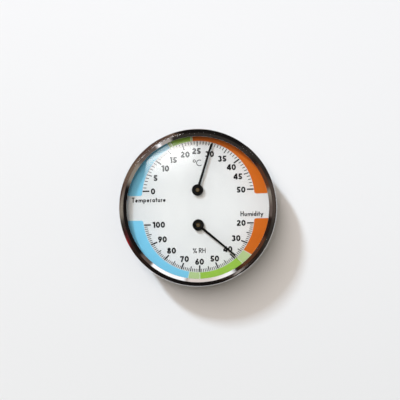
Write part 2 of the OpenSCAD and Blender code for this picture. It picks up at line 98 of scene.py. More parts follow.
class Graph:
    """Adds and joins the nodes of one node tree."""

    def __init__(self, tree: bpy.types.NodeTree) -> None:
        """Empties the tree and keeps it."""
        self.tree = tree
        tree.nodes.clear()

    def feed(self, socket: Socket, value: object) -> None:
        """Links a socket to another node's output, or sets its value.

        Args:
            socket: The input.
            value: The other node's output, or a plain value.
        """
        if isinstance(value, bpy.types.NodeSocket):
            self.tree.links.new(value, socket)
        else:
            socket.default_value = value

    def add(self, kind: str, inputs: dict | None = None, **settings: object) -> bpy.types.Node:
        """Adds a node.

        Args:
            kind: Node type.
            inputs: Values or sockets by the node's input name or number.
            **settings: Properties of the node itself.

        Returns:
            The new node.
        """
        node = self.tree.nodes.new(kind)
        for name, value in settings.items():
            setattr(node, name, value)
        for key, value in (inputs or {}).items():
            self.feed(node.inputs[key], value)
        return node

    def math(self, operation: str, *values: object) -> Socket:
        """Returns the result of one sum on numbers or sockets."""
        return self.add("ShaderNodeMath", dict(enumerate(values)), operation=operation).outputs[0]

    def product(self, value: Socket, *factors: object) -> Socket:
        """Returns a value times further numbers or sockets."""
        for factor in factors:
            value = self.math("MULTIPLY", value, factor)
        return value

    def smooth(self, value: Socket, low: float, high: float) -> Socket:
        """Returns 0 at low and 1 at high, with a smooth turn between them."""
        inputs = {"Value": value, "From Min": low, "From Max": high}
        return self.add("ShaderNodeMapRange", inputs, interpolation_type="SMOOTHSTEP").outputs[0]

    def spread(self, value: Socket, low: float, high: float) -> Socket:
        """Returns a value from 0 to 1 spread over the range from low to high."""
        return self.add("ShaderNodeMapRange", {"Value": value, "To Min": low, "To Max": high}).outputs[0]

    def blend(self, share: object, first: object, second: object, clamp: bool = True) -> Socket:
        """Returns a colour between two, at a share of the second, which may pass 1 without the clamp."""
        inputs = {0: share, 6: first, 7: second}
        return self.add("ShaderNodeMix", inputs, data_type="RGBA", clamp_factor=clamp).outputs[2]

    def ramp(self, value: Socket, stops: Iterable[tuple[float, Colour]]) -> Socket:
        """Returns the colour at a value between 0 and 1 on a row of colour stops.

        Args:
            value: Place on the row.
            stops: Place and colour of each stop, in order.

        Returns:
            The colour socket.
        """
        node = self.add("ShaderNodeValToRGB", {"Fac": value})
        elements = node.color_ramp.elements
        elements.remove(elements[1])
        for index, (place, colour) in enumerate(stops):
            stop = elements[0] if index == 0 else elements.new(place)
            stop.position = place
            stop.color = colour
        return node.outputs["Color"]


class Effects:
    """Node groups for the surface effects that several finishes share.

    Attributes:
        grain: Fine even grain.
        rolling: Faint streaks of rolled sheet, drawn out along the x axis.
        handling: Soft patches where hands and cloths have been.
        turning: Lines that a lathe leaves.
    """

    def __init__(self) -> None:
        """Builds each group once."""
        self.grain = self._noise("fine_grain", (0.3, 0.7), {"Detail": 3.0, "Roughness": 0.6})
        self.rolling = self._noise(
            "rolled_streaks", (0.25, 0.75), {"Detail": 4.0, "Roughness": 0.7}, stretch=0.04)
        self.handling = self._noise(
            "handled_patches", (0.35, 0.72), {"Detail": 5.0, "Roughness": 0.55, "Distortion": 0.8})
        self.turning = self._turning()

    @staticmethod
    def _group(name: str, inputs: Iterable[str], outputs: Iterable[str]) -> tuple[bpy.types.NodeTree, Graph]:
        """Makes an empty group with a vector input and further sockets for numbers.

        Args:
            name: Name of the group.
            inputs: Names of the number inputs.
            outputs: Names of the outputs.

        Returns:
            The group and a graph on it.
        """
        tree = bpy.data.node_groups.new(name, "ShaderNodeTree")
        tree.interface.new_socket(name="Vector", in_out="INPUT", socket_type="NodeSocketVector")
        for direction, titles in (("INPUT", inputs), ("OUTPUT", outputs)):
            for title in titles:
                tree.interface.new_socket(name=title, in_out=direction, socket_type="NodeSocketFloat")
        return tree, Graph(tree)

    def _noise(self, name: str, limits: tuple[float, float], inputs: dict[str, float],
               stretch: float = 1.0) -> bpy.types.NodeTree:
        """Builds a group for noise of a given size.

        Args:
            name: Name of the group.
            limits: Heights of the noise at which the group's value is 0 and 1.
            inputs: Further inputs of the noise, by name.
            stretch: Scale along the x axis, under 1 for noise drawn out along it.

        Returns:
            The group, with the noise as its height and as a value from 0 to 1.
        """
        tree, graph = self._group(name, ["Scale"], ["Height", "Value"])
        source = graph.add("NodeGroupInput").outputs
        drawn = graph.add("ShaderNodeMapping", {"Vector": source["Vector"], "Scale": (stretch, 1.0, 1.0)})
        noise = graph.add("ShaderNodeTexNoise", {
            "Vector": drawn.outputs[0], "Scale": source["Scale"], **inputs}).outputs[0]
        graph.add("NodeGroupOutput", {"Height": noise, "Value": graph.smooth(noise, *limits)})
        return tree

    def _turning(self) -> bpy.types.NodeTree:
        """Builds the lines that a lathe leaves: waves by the distance from the nearer spindle."""
        tree, graph = self._group("lathe_lines", ["Spindle", "Pitch"], ["Height"])
        source = graph.add("NodeGroupInput").outputs
        place = graph.add("ShaderNodeSeparateXYZ", {0: source["Vector"]}).outputs
        above = graph.math("SUBTRACT", graph.math("ABSOLUTE", place["Z"]), source["Spindle"])
        squares = (graph.product(part, part) for part in (place["X"], above))
        radius = graph.math("SQRT", graph.math("ADD", *squares))
        turns = graph.math("DIVIDE", radius, source["Pitch"])
        graph.add("NodeGroupOutput", {"Height": graph.math("SINE", graph.product(turns, 2 * math.pi))})
        return tree


class Coat(Enum):
    """What the surface of a metal shows of its making."""

    PLATED = "plated"
    TURNED = "turned"
    ROLLED = "rolled"


@dataclass(frozen=True)
class Surface:
    """A material under work, with what every finish does to it.

    Attributes:
        graph: Graph of the material.
        shader: Its shader node.
        output: Its output node.
        place: Object coordinates.
        effects: Shared node groups.
    """

    graph: Graph
    shader: bpy.types.Node
    output: bpy.types.Node
    place: Socket
    effects: Effects

    def pattern(self, tree: bpy.types.NodeTree, **inputs: object) -> bpy.types.Node:
        """Returns a shared node group laid on the surface, with its inputs by name."""
        return self.graph.add("ShaderNodeGroup", {"Vector": self.place, **inputs}, node_tree=tree)

    def bump(self, height: Socket, strength: float, depth: float) -> None:
        """Raises the surface by a height pattern, with its depth in millimetres."""
        inputs = {"Strength": strength, "Distance": depth * MM, "Height": height}
        self.graph.feed(self.shader.inputs["Normal"], self.graph.add("ShaderNodeBump", inputs).outputs[0])

    def mottle(self, colour: Shade, value: Socket, depth: float) -> None:
        """Lets the colour vary by a value between a darker and a lighter shade of itself."""
        shades = (tint(*colour, level=1 - depth), tint(*colour, level=1 + depth))
        self.graph.feed(self.shader.inputs["Base Color"], self.graph.blend(value, *shades))

    def shine(self, value: Socket, limits: tuple[float, float]) -> None:
        """Lets the roughness vary by a value between its limits."""
        self.graph.feed(self.shader.inputs["Roughness"], self.graph.spread(value, *limits))


@dataclass(frozen=True)
class Finish:
    """A finish of the instrument, named after the record's material slot.

    Attributes:
        slot: Material slot of the record that this finish belongs to.
        colour: Colour as it shows, in steps to 255.
        roughness: Lowest and highest roughness over the surface.
        scale: Noise scale of the pattern, per metre, or the pitch of turned lines in millimetres.
        depth: Depth of the pattern in millimetres.
        relief: How strongly the pattern shows.
        worn: Noise scale of the handled or uneven places, per metre.
        fading: Depth of the colour's unevenness.
    """

    slot: str
    colour: Shade
    roughness: tuple[float, float]
    scale: float = 3500.0
    depth: float = 0.02
    relief: float = 0.6
    worn: float = 45.0
    fading: float = 0.08

    def material(self, effects: Effects) -> bpy.types.Material:
        """Builds the material.

        Args:
            effects: Shared node groups.

        Returns:
            The finished material.
        """
        made = bpy.data.materials.new(self.slot)
        made.use_nodes = True
        graph = Graph(made.node_tree)
        shader = graph.add("ShaderNodeBsdfPrincipled", {"Base Color": tint(*self.colour)})
        output = graph.add("ShaderNodeOutputMaterial", {"Surface": shader.outputs[0]})
        place = graph.add("ShaderNodeTexCoord").outputs["Object"]
        self.dress(Surface(graph, shader, output, place, effects))
        return made

    def pattern(self, surface: Surface) -> bpy.types.Node:
        """Returns the pattern of the surface: fine even grain."""
        return surface.pattern(surface.effects.grain, Scale=self.scale)

    def dress(self, surface: Surface) -> None:
        """Gives the surface its pattern, and uneven colour and shine where it was handled."""
        handled = surface.pattern(surface.effects.handling, Scale=self.worn).outputs["Value"]
        surface.bump(self.pattern(surface).outputs["Height"], self.relief, self.depth)
        surface.mottle(self.colour, handled, self.fading)
        surface.shine(handled, self.roughness)


@dataclass(frozen=True)
class Plastic(Finish):
    """Moulded plastic or rubber with the fine texture of its mould."""


@dataclass(frozen=True)
class Metal(Finish):
    """Bare or plated metal.

    Attributes:
        coat: What the surface shows of its making.
        spindle: Distance of each spindle from the dial's centre, in millimetres.
        bare: Share of bare metal, the rest is dull with age.
    """

    scale: float = 900.0
    depth: float = 0.01
    relief: float = 0.4
    worn: float = 60.0
    fading: float = 0.05
    coat: Coat = Coat.ROLLED
    spindle: float = 11.35
    bare: float = 1.0

    def pattern(self, surface: Surface) -> bpy.types.Node:
        """Returns the marks that its making left on the metal."""
        if self.coat is Coat.TURNED:
            sizes = {"Spindle": self.spindle * MM, "Pitch": self.scale * MM}
            return surface.pattern(surface.effects.turning, **sizes)
        tree = surface.effects.rolling if self.coat is Coat.ROLLED else surface.effects.grain
        return surface.pattern(tree, Scale=self.scale)

    def dress(self, surface: Surface) -> None:
        """Makes the shader metal, then gives it its pattern."""
        surface.shader.inputs["Metallic"].default_value = self.bare
        super().dress(surface)


@dataclass(frozen=True)
class Print(Finish):
    """Printing ink or sheet paint, matt and a little uneven."""

    roughness: tuple[float, float] = (0.5, 0.62)
    scale: float = 2500.0
    depth: float = 0.004
    relief: float = 0.25
    worn: float = 120.0
    fading: float = 0.015

    def dress(self, surface: Surface) -> None:
        """Gives the print a faint tooth and a faint unevenness of colour."""
        tooth = self.pattern(surface)
        uneven = surface.pattern(surface.effects.handling, Scale=self.worn).outputs["Value"]
        surface.bump(tooth.outputs["Height"], self.relief, self.depth)
        surface.mottle(self.colour, uneven, self.fading)
        surface.shine(tooth.outputs["Value"], self.roughness)


@dataclass(frozen=True)
class Glass(Finish):
    """Clear flat glass that lets the lamps through to the dial.

    Attributes:
        bending: Index of refraction.
    """

    bending: float = 1.5

    def dress(self, surface: Surface) -> None:
        """Makes the shader glass, and clear for the light on its way to the dial."""
        graph, inputs = surface.graph, surface.shader.inputs
        inputs["Transmission Weight"].default_value = 1.0
        inputs["IOR"].default_value = self.bending
        inputs["Roughness"].default_value = self.roughness[0]
        path = graph.add("ShaderNodeLightPath")
        clear = graph.add("ShaderNodeBsdfTransparent")
        mixed = graph.add("ShaderNodeMixShader", {
            0: path.outputs["Is Shadow Ray"], 1: surface.shader.outputs[0], 2: clear.outputs[0]})
        graph.feed(surface.output.inputs["Surface"], mixed.outputs[0])


class Finishes:
    """All finishes of the instrument, each made when it is first asked for."""

    LIST: ClassVar[tuple[Finish, ...]] = (
        Plastic("case_plastic", (48, 48, 50), (0.42, 0.6)),
        Metal("ring_chrome", (236, 236, 238), (0.03, 0.07), 90.0, 0.006, coat=Coat.PLATED),
        Plastic("seal_rubber", (28, 28, 28), (0.7, 0.85), 1500.0),
        Glass("front_glass", (255, 255, 255), (0.0, 0.0)),
        Plastic("spacer_plastic", (40, 40, 42), (0.4, 0.55), depth=0.005),
        Print("dial_paint", (227, 227, 224)),
        Metal("movement_brass", (214, 190, 138), (0.3, 0.45), 1600.0),
        Metal("turned_brass", (158, 136, 98), (0.22, 0.34), 0.12, 0.006, 0.5, coat=Coat.TURNED, bare=0.6),
        Metal("screw_steel", (200, 200, 204), (0.25, 0.4), 2500.0, 0.006, coat=Coat.PLATED),
        Metal("spring_steel", (176, 176, 180), (0.25, 0.38), 2200.0),
        Plastic("pointer_black", (12, 12, 12), (0.3, 0.4), 4500.0, 0.004),
        Metal("bimetal", (186, 176, 160), (0.3, 0.42), 2600.0),
        Plastic("moisture_strip", (226, 206, 166), (0.45, 0.6), 2600.0, 0.01),
        Print("ink_black", (16, 16, 16)),
        Print("ink_blue", (128, 204, 232)),
        Print("ink_green", (158, 200, 78)),
        Print("ink_pale_green", (186, 208, 146)),
        Print("ink_orange", (210, 108, 32)),
    )

    def __init__(self) -> None:
        """Builds the shared effects, and no material yet."""
        self.effects = Effects()
        self.made: dict[str, bpy.types.Material] = {}

    def get(self, name: str) -> bpy.types.Material:
        """Returns the material of a finish by its slot, and makes it once."""
        if name not in self.made:
            chosen = next(finish for finish in self.LIST if finish.slot == name)
            self.made[name] = chosen.material(self.effects)
        return self.made[name]


class Shape:
    """Vertices and faces of one piece, collected from surfaces worked out on grids."""

    def __init__(self) -> None:
        """Starts with nothing."""
        self.vertices: list[np.ndarray] = []
        self.faces: list[tuple[int, ...]] = []
        self.count = 0

    def loft(self, sections: np.ndarray, closed: bool = False) -> None:
        """Adds a skin over a row of outlines: a profile carried along a path.

        The vertex of section i and profile point j is sections[i, j]. Each face joins two
        neighbouring points of two neighbouring sections. The profile closes on itself, and
        the row of sections does so too when it is closed, otherwise both ends get a cap.

        Args:
            sections: Array of section, profile point and coordinate, in metres.
            closed: True where the last section joins the first.
        """
        rows, points = sections.shape[:2]
        here = np.arange(rows * points).reshape(rows, points) + self.count
        after = np.roll(here, -1, axis=0) if closed else here[1:]
        before = here if closed else here[:-1]
        quads = np.stack([before, np.roll(before, -1, axis=1), np.roll(after, -1, axis=1), after], axis=-1)
        self.faces += [tuple(quad) for quad in quads.reshape(-1, 4).tolist()]
        if not closed:
            self.faces += [tuple(here[0, ::-1].tolist()), tuple(here[-1].tolist())]
        self.vertices.append(sections.reshape(-1, 3))
        self.count += rows * points

    def piece(self, name: str, material: bpy.types.Material, slot: str, body: str,
              smooth: float = 0.0) -> bpy.types.Object:
        """Makes the object, dresses it and lets it ride on a body.

        Args:
            name: Name of the piece.
            material: Its material.
            slot: The record's material slot that it belongs to; not used.
            body: The body that it moves with.
            smooth: Angle in degrees under which edges are shaded smooth.

        Returns:
            The new object.
        """
        mesh = bpy.data.meshes.new(name)
        mesh.from_pydata(np.concatenate(self.vertices), [], self.faces)
        mesh.update()
        if smooth:
            mesh.shade_smooth()
            mesh.set_sharp_from_angle(angle=math.radians(smooth))
        mesh.materials.append(material)
        made = placed_object(name, mesh)
        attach(made, body)
        log.info("%s: %d faces, on %s", name, len(mesh.polygons), body)
        return made


def turned(profile: np.ndarray, centre: tuple[float, float], steps: int) -> np.ndarray:
    """Carries a profile once round an axis that points at the viewer.

    A profile point at radius r and height z above the wall goes, at the angle t, to
    x = centre x + r cos t, y = -z and z = centre z + r sin t.

    Args:
        profile: Radius and height of each point, in millimetres.
        centre: Place of the axis on the dial, in millimetres.
        steps: Number of sections.

    Returns:
        Sections for a closed loft, in metres.
    """
    angle = np.linspace(0, 2 * math.pi, steps, endpoint=False)[:, None]
    radius, height = profile[:, 0][None], profile[:, 1][None]
    across = centre[0] + radius * np.cos(angle)
    up = centre[1] + radius * np.sin(angle)
    return np.stack([across, -height + 0 * angle, up], axis=-1) * MM


def rounded(corners: Iterable[tuple[float, float, float]], steps: int = 6) -> np.ndarray:
    """Rounds the corners of a closed outline.

    Each corner is replaced by a parabola from the point at the rounding's length before it to
    the point at that length after it, with the corner as its control point.

    Args:
        corners: Two coordinates of each corner and the length of its rounding, 0 for a sharp one.
        steps: Points on each rounding.

    Returns:
        Points of the outline.
    """
    listed = np.array(list(corners), float)
    points, cut = listed[:, :2], listed[:, 2:]
    back = np.roll(points, 1, axis=0) - points
    ahead = np.roll(points, -1, axis=0) - points
    start = points + back / np.linalg.norm(back, axis=1, keepdims=True) * cut
    end = points + ahead / np.linalg.norm(ahead, axis=1, keepdims=True) * cut
    share = np.linspace(0, 1, steps)[None, :, None]
    left = 1 - share
    curve = start[:, None] * left ** 2 + 2 * points[:, None] * share * left + end[:, None] * share ** 2
    return np.concatenate([curve[i] if cut[i, 0] else points[i:i + 1] for i in range(len(points))])


@dataclass
class Ring:
    """Chrome ring round the glass.

    Attributes:
        width: From the outer side in to the opening.
        crest_in: From the outer side in to the middle of the crest.
        crest_width: Flat top of the crest.
        lip: Thickness of the lip over the glass.
        taper: How much narrower the skirt is at its back edge.
        case_gap: Clearance between skirt and case.
        disc_gap: Clearance round the glass.
        bead: Height of the bead that snaps into the case.
        bead_back: From the case's rim back to the bead.
        bead_gap: Clearance of the bead.
        edge: Rounding of the lip's edge over the glass.
        back_edge: Rounding of the lip's edge on the glass.
        skirt_edge: Rounding of the skirt's edges.
        fullness: Power of the shoulder's curve, 2 for a quarter circle and more for a fuller one.
        shoulder_steps: Points on the shoulder.
        steps: Sections round the ring.
        crease: Angle in degrees from which an edge looks sharp.
    """

    width: float = 5.03
    crest_in: float = 2.75
    crest_width: float = 0.3
    lip: float = 0.5
    taper: float = 0.5
    case_gap: float = 0.05
    disc_gap: float = 0.15
    bead: float = 0.35
    bead_back: float = 3.0
    bead_gap: float = 0.15
    edge: float = 0.2
    back_edge: float = 0.1
    skirt_edge: float = 0.2
    fullness: float = 5.0
    shoulder_steps: int = 32
    steps: int = 512
    crease: float = 28.0

    def profile(self) -> np.ndarray:
        """Works out the ring's section from the frame's boxes.

        The shoulder follows |r|^n + |z|^n = 1, spread over its side, with n the fullness.

        Returns:
            Radius and height of each point, in millimetres.
        """
        low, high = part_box("bezel_ring")
        outer, crest_z, skirt_z = high.x / MM, -low.y / MM, -high.y / MM
        case_r, rim_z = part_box("case_shell")[1].x / MM, -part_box("case_shell")[0].y / MM
        disc_r, lip_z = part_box("front_glass")[1].x / MM, -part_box("glass_seal")[0].y / MM
        opening, crest = outer - self.width, outer - self.crest_in
        skirt, bead_z = case_r + self.case_gap, rim_z - self.bead_back
        side = self.crest_in - self.crest_width / 2
        angle = np.radians(np.linspace(90, 0, self.shoulder_steps))
        out, rise = np.cos(angle) ** (2 / self.fullness), np.sin(angle) ** (2 / self.fullness)
        shoulder = np.stack([outer - side + side * out, crest_z - side + side * rise], axis=-1)
        inner = [
            (opening, lip_z, self.back_edge), (opening, lip_z + self.lip, self.edge),
            (crest - self.crest_width / 2, crest_z, 0)]
        hidden = [
            (outer - self.taper, skirt_z, self.skirt_edge), (skirt, skirt_z, self.skirt_edge),
            (skirt, bead_z - self.bead, 0),
            (case_r - self.bead + self.bead_gap, bead_z, 0), (skirt, bead_z + self.bead, 0),
            (skirt, rim_z + self.disc_gap, 0), (disc_r + self.disc_gap, rim_z + self.disc_gap, 0),
            (disc_r + self.disc_gap, lip_z, 0)]
        return rounded([*inner, *((r, z, 0) for r, z in shoulder), *hidden])

    def build(self, finishes: Finishes) -> None:
        """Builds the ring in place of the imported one."""
        shape = Shape()
        shape.loft(turned(self.profile(), (0.0, 0.0), self.steps), closed=True)
        material = finishes.get("ring_chrome")
        made = shape.piece("polished_ring", material, "ring_chrome", "case", smooth=self.crease)
        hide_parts("bezel_ring")


@dataclass
class Pointer:
    """Black pointer with a turned hub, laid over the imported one.

    Attributes:
        scale: First word of the pointer's nodes.
        root_width: Width of the blade at its hub.
        tip_width: Width of the blade at its tip.
        hub: Diameter of the hub.
        bore: Radius of the hole round the bushing's neck.
        bevel: Width of the bevels along the blade.
        groove: Radius of the turned groove in the hub.
        groove_width: Width of the groove.
        groove_depth: Depth of the groove.
        groove_edge: Rounding of the groove's upper edges.
        groove_corner: Rounding of the groove's bottom corners.
        bore_edge: Rounding of the hole's edge.
        rim: Rounding of the hub's front edge.
        back_edge: Rounding of the hub's back edge.
        hub_steps: Sections round the hub.
        overlap: How far the blade's root reaches into the hub.
        blunt: Length of the tip's end.
        tip_shares: Shares of the half width before and at the tip's end.
        flat_share: Least share of the half width between the bevels.
        sunk: How far the blade lies within the hub's face and back.
        crease: Angle in degrees from which an edge looks sharp.
    """

    scale: str
    root_width: float = 1.72
    tip_width: float = 1.18
    hub: float = 7.45
    bore: float = 0.87
    bevel: float = 0.12
    groove: float = 2.05
    groove_width: float = 0.4
    groove_depth: float = 0.12
    groove_edge: float = 0.05
    groove_corner: float = 0.04
    bore_edge: float = 0.08
    rim: float = 0.15
    back_edge: float = 0.05
    hub_steps: int = 96
    overlap: float = 0.6
    blunt: float = 0.15
    tip_shares: tuple[float, float] = (0.42, 0.12)
    flat_share: float = 0.4
    sunk: float = 0.02
    crease: float = 25.0

    def build(self, finishes: Finishes) -> None:
        """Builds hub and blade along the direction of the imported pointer."""
        node = f"{self.scale}_pointer"
        low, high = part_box(node)
        back, face = -high.y / MM, -low.y / MM
        mesh = frame["nodes"][node].data
        points = np.zeros(len(mesh.vertices) * 3)
        mesh.vertices.foreach_get("co", points)
        points = points.reshape(-1, 3)[:, [0, 2]] / MM
        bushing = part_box(f"{self.scale}_bushing")
        centre = np.array([(bushing[0].x + bushing[1].x) / 2, (bushing[0].z + bushing[1].z) / 2]) / MM
        tip = points[np.argmax(np.linalg.norm(points - centre, axis=1))] - centre
        shape = Shape()
        shape.loft(turned(self.hub_profile(back, face), tuple(centre), self.hub_steps), closed=True)
        shape.loft(self.blade(centre, tip, back, face))
        made = shape.piece(f"{self.scale}_hand", finishes.get("pointer_black"), "pointer_black",
                           f"{self.scale}_hand", smooth=self.crease)
        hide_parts(node)

    def hub_profile(self, back: float, face: float) -> np.ndarray:
        """Works out the hub's section: rounded rim, flat face and a shallow groove.

        Args:
            back: Height of the pointer's back.
            face: Height of the pointer's face.

        Returns:
            Radius and height of each point, in millimetres.
        """
        radius, half, floor = self.hub / 2, self.groove_width / 2, face - self.groove_depth
        return rounded([
            (self.bore, back, 0), (self.bore, face, self.bore_edge),
            (self.groove - half, face, self.groove_edge),
            (self.groove - half / 2, floor, self.groove_corner),
            (self.groove + half / 2, floor, self.groove_corner),
            (self.groove + half, face, self.groove_edge),
            (radius, face, self.rim), (radius, back, self.back_edge)], steps=5)

    def blade(self, centre: np.ndarray, tip: np.ndarray, back: float, face: float) -> np.ndarray:
        """Works out the blade: a bevelled bar that tapers to a blunt point.

        Args:
            centre: Place of the spindle on the dial.
            tip: Tip of the pointer, counted from the spindle.
            back: Height of the pointer's back.
            face: Height of the pointer's face.

        Returns:
            Sections for an open loft, in metres.
        """
        length = float(np.linalg.norm(tip))
        along = tip / length
        side = np.array([-along[1], along[0]])
        start = self.hub / 2 - self.overlap
        reach = np.array([start, length - self.tip_width / 2, length - self.blunt, length])
        taper = self.root_width + (self.tip_width - self.root_width) * reach / length
        half = taper / 2 * np.array([1, 1, *self.tip_shares])
        flat = np.maximum(half - self.bevel, half * self.flat_share)
        level, under = face - self.sunk, back + self.sunk
        across = np.stack([-half, -flat, flat, half, half, -half], axis=-1)
        height = np.array([level - self.bevel, level, level, level - self.bevel, under, under])
        spot = centre + reach[:, None, None] * along + across[..., None] * side
        tall = np.broadcast_to(height, across.shape)
        return np.stack([spot[..., 0], -tall, spot[..., 1]], axis=-1) * MM


class Pen:
    """Single strokes of a plain round-hand alphabet, in units of a capital's height.

    Attributes:
        BOWL: Height of the middle of a small letter.
        TURN: Degrees from one point of a curved stroke to the next.
        LEAST: Fewest points on a curved stroke.
    """

    BOWL = 0.29
    TURN = 12
    LEAST = 8

    @staticmethod
    def line(*points: tuple[float, float]) -> Stroke:
        """Returns an open stroke through points."""
        return np.array(points, float), False

    @classmethod
    def stem(cls, x: float, top: float = 1.0) -> Stroke:
        """Returns an upright stroke from the foot of the line."""
        return cls.line((x, 0), (x, top))

    @classmethod
    def bow(cls, x: float, y: float, wide: float, tall: float, start: float = 0, end: float = 360) -> Stroke:
        """Returns a stroke along an ellipse about (x, y), closed where it runs all the way round."""
        whole = abs(end - start) == 360
        steps = max(cls.LEAST, int(abs(end - start) / cls.TURN))
        angle = np.radians(np.linspace(start, end, steps, endpoint=not whole))
        return np.stack([x + wide * np.cos(angle), y + tall * np.sin(angle)], axis=-1), whole

    @staticmethod
    def join(*strokes: Stroke) -> Stroke:
        """Returns one open stroke that runs through several."""
        return np.concatenate([points for points, _ in strokes]), False

    @classmethod
    def glyph(cls, letter: str, pen: float) -> tuple[float, list[Stroke]]:
        """Draws one letter or figure.

        Args:
            letter: The character.
            pen: Width of the stroke.

        Returns:
            The character's width and its strokes.
        """
        line, stem, bow, join = cls.line, cls.stem, cls.bow, cls.join
        h, mid, top = pen / 2, cls.BOWL, 2 * cls.BOWL
        bowl = bow(0.27, mid, 0.27 - h, mid - h)
        drawn: dict[str, tuple[float, list[Stroke]]] = {
            "0": (0.72, [bow(0.36, 0.5, 0.36 - h, 0.5 - h)]),
            "1": (0.48, [stem(0.48 - h), line((0.06, 0.77), (0.48 - h, 0.94))]),
            "2": (0.7, [join(bow(0.35, 0.68, 0.32 - h, 0.32 - h, 172, -38), line((0.1, 0.12))),
                        line((0.03, h), (0.68, h))]),
            "3": (0.68, [bow(0.33, 0.745, 0.31 - h, 0.255 - h, 165, -90),
                         bow(0.33, 0.295, 0.35 - h, 0.295 - h, 90, -165)]),
            "4": (0.72, [stem(0.52), line((0.03, 0.27), (0.72, 0.27)), line((0.5, 0.95), (0.08, 0.3))]),
            "5": (0.66, [line((0.2, 1 - h), (0.63, 1 - h)), line((0.23, 0.97), (0.15, 0.47)),
                         bow(0.31, 0.3, 0.34 - h, 0.3 - h, 135, -162)]),
            "6": (0.66, [bow(0.33, 0.32, 0.33 - h, 0.32 - h), line((0.13, 0.45), (0.47, 0.98))]),
            "7": (0.66, [line((0.02, 1 - h), (0.65, 1 - h)), line((0.57, 0.94), (0.22, 0))]),
            "8": (0.68, [bow(0.34, 0.745, 0.27 - h, 0.255 - h), bow(0.34, 0.29, 0.34 - h, 0.29 - h)]),
            "9": (0.66, [bow(0.33, 0.68, 0.33 - h, 0.32 - h), line((0.53, 0.55), (0.19, 0.02))]),
            "°": (0.52, [bow(0.24, 0.8, 0.24 - h, 0.24 - h)]),
            "%": (0.8, [line((0.14, 0), (0.66, 1)), bow(0.17, 0.79, 0.17 - h, 0.19 - h),
                        bow(0.63, 0.21, 0.17 - h, 0.19 - h)]),
            " ": (0.2, []),
            "C": (0.82, [bow(0.5, 0.5, 0.5 - h, 0.5 - h, 55, 314)]),
            "H": (0.66, [stem(h), stem(0.66 - h), line((h, 0.52), (0.66 - h, 0.52))]),
            "R": (0.58, [stem(h), join(line((h, 1 - h)), bow(0.28, 0.73, 0.24, 0.27 - h, 90, -90),
                                       line((h, 0.46 + h))), line((0.26, 0.46), (0.54, 0))]),
            "T": (0.56, [line((0, 1 - h), (0.56, 1 - h)), stem(0.28)]),
            "a": (0.56, [bowl, stem(0.54 - h, top)]),
            "d": (0.56, [bowl, stem(0.54 - h)]),
            "e": (0.54, [bow(0.27, mid, 0.27 - h, mid - h, 0, 318), line((h, mid), (0.54 - h, mid))]),
            "i": (0.12, [stem(0.06, top), line((0.06, 0.72), (0.06, 0.84))]),
            "m": (0.84, [stem(h, top), join(bow(0.235, 0.38, 0.18, 0.2 - h, 170, 0), line((0.415, 0))),
                         join(bow(0.6, 0.38, 0.185, 0.2 - h, 170, 0), line((0.785, 0)))]),
            "p": (0.56, [line((h, -0.3), (h, top)), bow(0.29, mid, 0.27 - h, mid - h)]),
            "r": (0.32, [stem(h, top), bow(0.21, 0.38, 0.16, 0.2 - h, 165, 62)]),
            "t": (0.3, [line((0.15, 0), (0.15, 0.86)), line((0, 0.56), (0.3, 0.56))]),
            "u": (0.5, [join(line((h, top)), bow(0.24, 0.22, 0.24 - h, 0.22 - h, 180, 360)),
                        stem(0.48 - h, top)]),
            "y": (0.5, [line((0.02, top), (0.26, 0.03)), line((0.5, top), (0.13, -0.3))]),
        }
        return drawn[letter]


@dataclass(frozen=True)
class Label:
    """Figure or line of words on the dial.

    Attributes:
        words: What is written.
        place: Its place, right and up from the dial's centre.
        height: Height of a capital.
        pen: Width of the strokes.
        align: Share of the line's width that lies left of its place.
        gap: Space between letters, in units of the height.
    """

    words: str
    place: tuple[float, float]
    height: float = 3.25
    pen: float = 0.58
    align: float = 0.5
    gap: float = 0.1


def outward(made: bpy.types.Object) -> None:
    """Turns all faces of a piece outwards."""
    bpy.context.view_layer.objects.active = made
    made.select_set(True)
    bpy.ops.object.mode_set(mode="EDIT")
    bpy.ops.mesh.select_all(action="SELECT")
    bpy.ops.mesh.normals_make_consistent(inside=False)
    bpy.ops.object.mode_set(mode="OBJECT")
    made.select_set(False)


